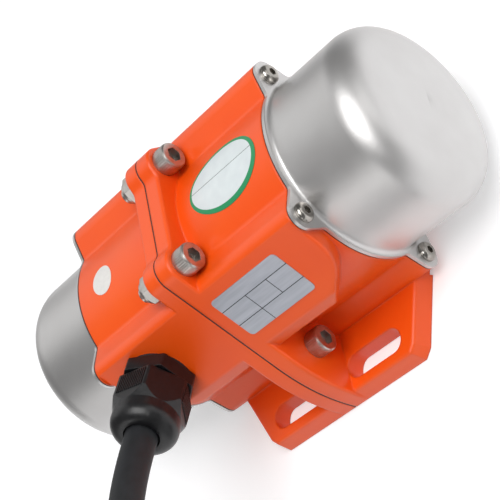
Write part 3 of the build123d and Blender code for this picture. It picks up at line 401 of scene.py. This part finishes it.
# %% [markdown]
# ## Orange paint
# The halves are pressure-cast and sprayed. Sprayed paint is nearly smooth, with a faint orange-peel ripple a
# millimetre or two across, and it rounds every casting edge. A Bevel node rounds the edges' shading by about a
# millimetre, which stands in for fillets that would cost thousands of faces.

# %% Paint for the housing
paint = Finish("orange_paint", Metallic=0.0, Coat_Weight=0.10, Coat_Roughness=0.15)
cloud = paint.noise(22.0, 3.0)
tone = paint.ramp(cloud, [(0.3, rgb(238, 80, 5)), (0.7, rgb(246, 90, 9))])
paint.feed(Base_Color=tone, Roughness=cloud * 0.10 + 0.34)
paint.relief(paint.noise(520.0, 2.0) + paint.noise(140.0, 1.0) * 0.6, 0.06, 0.0005, rounding=0.0011)
print("paint has", len(paint.tree.nodes), "nodes")

# %% [markdown]
# ## Bare metals
# The caps are drawn from stainless sheet and tumbled to a satin skin: it reflects broadly, with fine grain and
# faint rings left by the drawing die. Screws and nuts are zinc plated, brighter and a little patchy.

# %% Satin steel for the caps
cap_steel = Finish("satin_cap_steel", Metallic=1.0)
grain = cap_steel.noise(2600.0, 2.0, 0.6)
patches = cap_steel.noise(35.0, 3.0, 0.55)
rings = cap_steel.noise(900.0, 2.0, 0.6, at=cap_steel.stretched((1.0, 0.03, 0.03)))
tone = cap_steel.ramp(patches, [(0.25, rgb(200, 198, 197)), (0.75, rgb(210, 209, 208))])
cap_steel.feed(Base_Color=tone, Roughness=patches * 0.06 + grain * 0.06 + 0.38)
cap_steel.relief(grain + rings * 0.4, 0.10, 0.0002)

# %% Zinc plating for the screws and nuts
zinc = Finish("zinc_plating", Metallic=1.0)
spots = zinc.noise(420.0, 3.0)
zinc.feed(
    Base_Color=zinc.ramp(spots, [(0.3, rgb(172, 168, 163)), (0.7, rgb(196, 192, 187))]),
    Roughness=spots * 0.12 + 0.26,
)
zinc.relief(spots, 0.04, 0.0002, rounding=0.0002)

# %% Bright steel for the cap screws
bright = Finish("bright_steel", Metallic=1.0)
spots = bright.noise(500.0, 2.0)
bright.feed(
    Base_Color=bright.ramp(spots, [(0.3, rgb(150, 146, 140)), (0.7, rgb(178, 174, 168))]),
    Roughness=spots * 0.12 + 0.14,
)
bright.relief(spots, 0.05, 0.0002, rounding=0.0002)
print("three metals")

# %% [markdown]
# ## Black plastics and rubber
# The gland is moulded polyamide: near black, half glossy, with a fine moulded grain. The cable's jacket is duller,
# with a fine grain in its skin, and the gaskets are duller still.

# %% Moulded black, cable jacket and gasket
nylon = Finish("black_nylon", Metallic=0.0)
grain = nylon.noise(900.0, 2.0)
nylon.feed(
    Base_Color=nylon.ramp(grain, [(0.3, rgb(12, 12, 14)), (0.7, rgb(20, 20, 22))]),
    Roughness=grain * 0.12 + 0.30,
)
nylon.relief(grain, 0.12, 0.0003, rounding=0.0004)

jacket = Finish("cable_jacket", Metallic=0.0)
grain = jacket.noise(300.0, 3.0)
jacket.feed(
    Base_Color=jacket.ramp(grain, [(0.3, rgb(16, 18, 21)), (0.7, rgb(26, 28, 32))]),
    Roughness=grain * 0.15 + 0.52,
)
jacket.relief(jacket.noise(1500.0, 2.0), 0.15, 0.0003)

sealing = Finish("sealing_sheet", Metallic=0.0)
grain = sealing.noise(1200.0, 2.0)
sealing.feed(
    Base_Color=sealing.ramp(grain, [(0.3, rgb(22, 24, 26)), (0.7, rgb(38, 40, 42))]),
    Roughness=grain * 0.1 + 0.7,
)
sealing.relief(grain, 0.2, 0.0002)
print("three blacks")

# %% [markdown]
# ## Labels
# The plate is silver film with rounded corners. It carries a ruled grid and nothing else: one whole row, a row of
# three fields and a row of two. The oval label follows the barrel, so its pattern is measured along the surface:
# a green ring, thicker to one side, a white field and a thin rule along it. A small plain white sticker is on the
# other half. Rules are drawn where a coordinate comes within half a line's width of a line's place.

# %% The plate's ruled grid
PLATE_X = 0.0221
PLATE_UP = 0.0010
ROWS = (-0.0038, 0.0036)
COLUMNS = (-0.0043, 0.0062)
HALF_LINE = 0.00015
plate = Finish("silver_film", Metallic=0.55)
x, y, z = plate.split(plate.place())
along = x - PLATE_X
down = y * -math.sin(BOSS_TILT) + (z - SHAFT_HEIGHT) * -math.cos(BOSS_TILT) + PLATE_UP


def band(value, middle, half_width):
    """1 where the value is within half a width of the middle."""
    return (value - middle).abs() < half_width


first_row, second_row = [band(down, row, HALF_LINE) for row in ROWS]
first_column, second_column = [band(along, column, HALF_LINE) for column in COLUMNS]
middle_row = band(down, (ROWS[0] + ROWS[1]) / 2, (ROWS[1] - ROWS[0]) / 2)
upper_cells = first_column.most(second_column) * middle_row
lower_cell = first_column * (down > ROWS[1])
rules = first_row.most(second_row).most(upper_cells).most(lower_cell)
brushed = plate.noise(700.0, 2.0, at=plate.stretched((0.08, 1.0, 1.0)))
film = plate.ramp(brushed, [(0.3, rgb(170, 173, 182)), (0.7, rgb(188, 191, 199))])
plate.feed(Base_Color=plate.mix(rules, film, rgb(40, 40, 44)), Roughness=plate.noise(300.0) * 0.1 + 0.36)
plate.relief(plate.noise(1600.0, 2.0), 0.05, 0.0001)
print("the plate's rules are drawn")

# %% The oval label and the sticker
HOUSING_RADIUS = 0.0360
LABEL_X = 0.0312
FIELD_X, FIELD_AROUND = -0.0003, 0.0004
FIELD_HALF_LENGTH, FIELD_HALF_WIDTH = 0.0156, 0.0099
RULE_AROUND, HALF_RULE = 0.0016, 0.00010
label = Finish("green_ring_label", Metallic=0.0)
x, y, z = label.split(label.place())
around = label.node("ShaderNodeMath", {"operation": "ARCTAN2"}, y, z - SHAFT_HEIGHT) * HOUSING_RADIUS
long_way = (x - (LABEL_X + FIELD_X)) / FIELD_HALF_LENGTH
short_way = (around - FIELD_AROUND) / FIELD_HALF_WIDTH
ring = (long_way * long_way + short_way * short_way) > 1.0
rule = band(around, RULE_AROUND, HALF_RULE)
paper = label.ramp(label.noise(200.0), [(0.3, rgb(208, 216, 218)), (0.7, rgb(217, 225, 226))])
marked = label.mix(rule, paper, rgb(60, 84, 78))
label.feed(Base_Color=label.mix(ring, marked, rgb(24, 140, 88)), Roughness=label.noise(300.0) * 0.08 + 0.34)
label.relief(label.noise(1500.0, 2.0), 0.04, 0.0001)

sticker = Finish("white_sticker", Metallic=0.0)
grain = sticker.noise(600.0)
sticker.feed(
    Base_Color=sticker.ramp(grain, [(0.3, rgb(220, 218, 214)), (0.7, rgb(228, 226, 222))]),
    Roughness=grain * 0.1 + 0.42,
)
sticker.relief(grain, 0.05, 0.0001)
print("two labels")

# %% [markdown]
# ## Materials of the inner pieces
# They show only when the motor is opened. The stator and the rotor are stacks of stamped sheet, so they get fine
# lines across the shaft. Windings are enamelled copper wire, the rotor's cage is cast aluminium, the weights are
# iron with a machined skin, and bearings and shaft are ground steel.

# %% Stacked sheet, copper and castings
stack = Finish("stacked_sheet", Metallic=1.0)
x, y, z = stack.split(stack.place())
sheets = (x * (2 * math.pi / 0.0010)).sin() * 0.5 + 0.5
stack.feed(
    Base_Color=stack.ramp(sheets, [(0.1, rgb(84, 84, 88)), (0.6, rgb(138, 138, 142))]),
    Roughness=stack.noise(300.0) * 0.15 + 0.38,
)
stack.relief(sheets, 0.5, 0.0002)

copper = Finish("enamelled_copper", Metallic=0.9, Coat_Weight=0.4, Coat_Roughness=0.2)
x, y, z = copper.split(copper.place())
round_about = copper.node("ShaderNodeMath", {"operation": "ARCTAN2"}, y, z - SHAFT_HEIGHT)
depth = (y * y + (z - SHAFT_HEIGHT) * (z - SHAFT_HEIGHT)).root()
wires = (depth * (2 * math.pi / 0.0009)).sin() * (round_about * 60 + x * 1500).sin() * 0.5 + 0.5
copper.feed(
    Base_Color=copper.ramp(wires, [(0.1, rgb(120, 52, 22)), (0.6, rgb(196, 104, 52))]),
    Roughness=copper.noise(400.0) * 0.15 + 0.28,
)
copper.relief(wires, 0.6, 0.0003)

casting = Finish("cast_aluminium", Metallic=1.0)
grain = casting.noise(700.0, 4.0)
casting.feed(
    Base_Color=casting.ramp(grain, [(0.3, rgb(176, 178, 180)), (0.7, rgb(206, 208, 210))]),
    Roughness=grain * 0.2 + 0.4,
)
casting.relief(grain, 0.3, 0.0003)

iron = Finish("machined_iron", Metallic=1.0)
x, y, z = iron.split(iron.place())
depth = (y * y + (z - SHAFT_HEIGHT) * (z - SHAFT_HEIGHT)).root()
turning = (depth * (2 * math.pi / 0.0006)).sin() * 0.5 + 0.5
grain = iron.noise(500.0, 4.0)
iron.feed(
    Base_Color=iron.ramp(grain, [(0.25, rgb(70, 70, 74)), (0.75, rgb(112, 112, 114))]),
    Roughness=grain * 0.2 + 0.38,
)
iron.relief(turning * 0.4 + grain, 0.25, 0.0003, rounding=0.0003)
print("four inner metals")

# %% Ground steel, spring steel, capacitor and wires
ground = Finish("ground_steel", Metallic=1.0)
x, y, z = ground.split(ground.place())
marks = ground.noise(1600.0, 2.0, at=ground.stretched((1.0, 0.05, 0.05)))
ground.feed(
    Base_Color=ground.ramp(marks, [(0.3, rgb(176, 177, 180)), (0.7, rgb(205, 206, 208))]),
    Roughness=marks * 0.12 + 0.16,
)
ground.relief(marks, 0.12, 0.0002, rounding=0.0002)

spring = Finish("blued_spring_steel", Metallic=1.0)
heat = spring.noise(120.0, 3.0)
spring.feed(
    Base_Color=spring.ramp(heat, [(0.3, rgb(66, 72, 92)), (0.7, rgb(104, 100, 104))]), Roughness=heat * 0.15 + 0.24
)
spring.relief(heat, 0.1, 0.0002)

case = Finish("capacitor_case", Metallic=0.0)
grain = case.noise(500.0)
case.feed(
    Base_Color=case.ramp(grain, [(0.3, rgb(214, 212, 204)), (0.7, rgb(226, 224, 217))]), Roughness=grain * 0.1 + 0.3
)
case.relief(grain, 0.08, 0.0002, rounding=0.0005)

insulation = Finish("wire_insulation", Metallic=0.0)
grain = insulation.noise(700.0)
insulation.feed(
    Base_Color=insulation.ramp(grain, [(0.3, rgb(128, 26, 20)), (0.7, rgb(150, 34, 26))]), Roughness=grain * 0.1 + 0.38
)
insulation.relief(grain, 0.08, 0.0002)

CORE_BOUNDARY = 0.0458
cores = Finish("core_insulation", Metallic=0.0)
x, y, z = cores.split(cores.place())
beside, ahead = x - coil_centre.x, y - coil_centre.y
from_middle = (beside * beside + ahead * ahead).root()
grain = cores.noise(700.0)
brown_or_blue = cores.mix(from_middle > CORE_BOUNDARY, rgb(30, 84, 170), rgb(112, 62, 32))
cores.feed(Base_Color=brown_or_blue, Roughness=grain * 0.1 + 0.4)
cores.relief(grain, 0.08, 0.0002)
print("five more finishes")

# %% Give every solid its finish
dress = {
    paint: ["front_housing", "rear_housing"],
    cap_steel: ["front_cap", "rear_cap"],
    sealing: ["housing_gasket", "front_cap_gasket", "rear_cap_gasket", "gland_washer", "gland_seal"],
    zinc: ["housing_screws", "housing_nuts", "front_clamp_screw", "rear_clamp_screw", "end_washers", "end_screws"],
    bright: ["front_cap_screws", "rear_cap_screws"],
    nylon: ["gland_body", "gland_nut"],
    jacket: ["cable_entry"],
    plate: ["name_plate"],
    label: ["round_label"],
    sticker: ["round_sticker"],
    stack: ["stator_core", "rotor_core"],
    copper: ["stator_windings"],
    casting: ["rotor_cage"],
    iron: ["front_inner_weight", "rear_inner_weight", "front_outer_weight", "rear_outer_weight"],
    ground: [
        "shaft", "weight_keys", "weight_spacers", "bearing_inner_races", "bearing_outer_races", "bearing_shields",
        "front_bearing_balls", "rear_bearing_balls",
    ],
    spring: ["front_bearing_cage", "rear_bearing_cage", "bearing_circlips", "preload_washer"],
    case: ["capacitor"],
    insulation: ["capacitor_leads", "winding_leads"],
    cores: ["cable_cores"],
}
for finish, nodes in dress.items():
    for name in nodes:
        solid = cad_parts[name]
        for slot in solid.material_slots:
            slot.material = finish.material
line.materials.append(jacket.material)
gland_ribs.data.materials.append(nylon.material)
knurling.data.materials.append(zinc.material)
print(sum(len(nodes) for nodes in dress.values()), "solids have a finish")

# %% The floor's and the world's finish
ground_finish = bpy.data.materials.new("pale_floor")
ground_finish.use_nodes = True
nodes, links = ground_finish.node_tree.nodes, ground_finish.node_tree.links
nodes["Principled BSDF"].inputs["Base Color"].default_value = (0.80, 0.80, 0.81, 1)
nodes["Principled BSDF"].inputs["Roughness"].default_value = 0.9
path = nodes.new("ShaderNodeLightPath")
seen = nodes.new("ShaderNodeMath")
seen.operation = "MAXIMUM"
links.new(path.outputs["Is Camera Ray"], seen.inputs[0])
links.new(path.outputs["Is Glossy Ray"], seen.inputs[1])
glow = nodes.new("ShaderNodeMix")
glow.data_type = "RGBA"
links.new(seen.outputs[0], glow.inputs[0])
glow.inputs[6].default_value = (0, 0, 0, 1)
glow.inputs[7].default_value = (0.35, 0.35, 0.35, 1)
links.new(glow.outputs[2], nodes["Principled BSDF"].inputs["Emission Color"])
nodes["Principled BSDF"].inputs["Emission Strength"].default_value = 1
floor.data.materials.append(ground_finish)

world = bpy.data.worlds.new("studio")
bpy.context.scene.world = world
world.use_nodes = True
world.node_tree.nodes["Background"].inputs["Color"].default_value = (1, 1, 1, 1)
world.node_tree.nodes["Background"].inputs["Strength"].default_value = 0.22
bpy.context.scene.view_settings.view_transform = "Standard"
print("floor and world are set")
